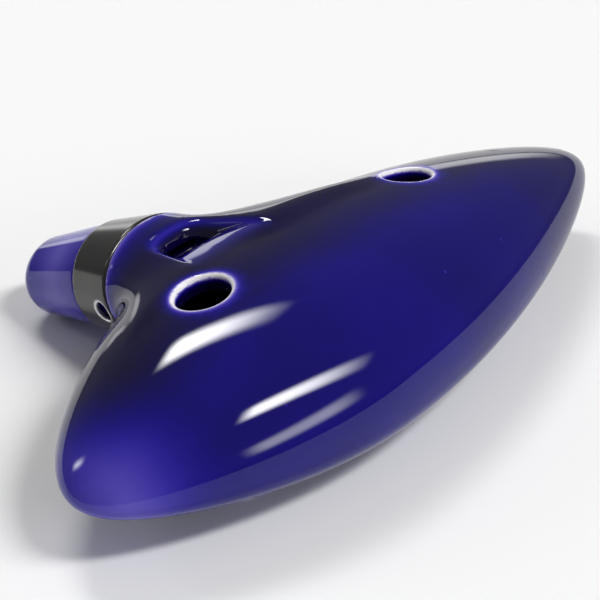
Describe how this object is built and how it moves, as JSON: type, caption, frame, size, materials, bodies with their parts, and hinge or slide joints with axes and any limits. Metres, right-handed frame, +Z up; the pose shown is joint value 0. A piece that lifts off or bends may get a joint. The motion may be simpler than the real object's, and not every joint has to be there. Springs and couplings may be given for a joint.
{
  "type": "ocarina",
  "caption": "Hollow glazed clay vessel flute with a sweet-potato body, finger and thumb holes, a voicing window and a banded mouthpiece.",
  "frame": {"origin": "on the surface that the ocarina lies on, under the middle of its bounding box", "axes": "+X along the body to its long tail, +Y the way the mouthpiece points, +Z up to the thumb side"},
  "size_m": [0.17, 0.107, 0.0363],
  "materials": {
    "blue_glaze": "deep cobalt gloss glaze over white clay, thinner and paler at rims and edges",
    "metal_glaze": "dark grey metallic lustre glaze, satin gloss"
  },
  "bodies": {
    "root": {"thumb_shell": "blue_glaze", "finger_shell": "blue_glaze", "mouthpiece_roof": "blue_glaze", "mouthpiece_floor": "blue_glaze", "band": "metal_glaze"}
  },
  "joints": []
}
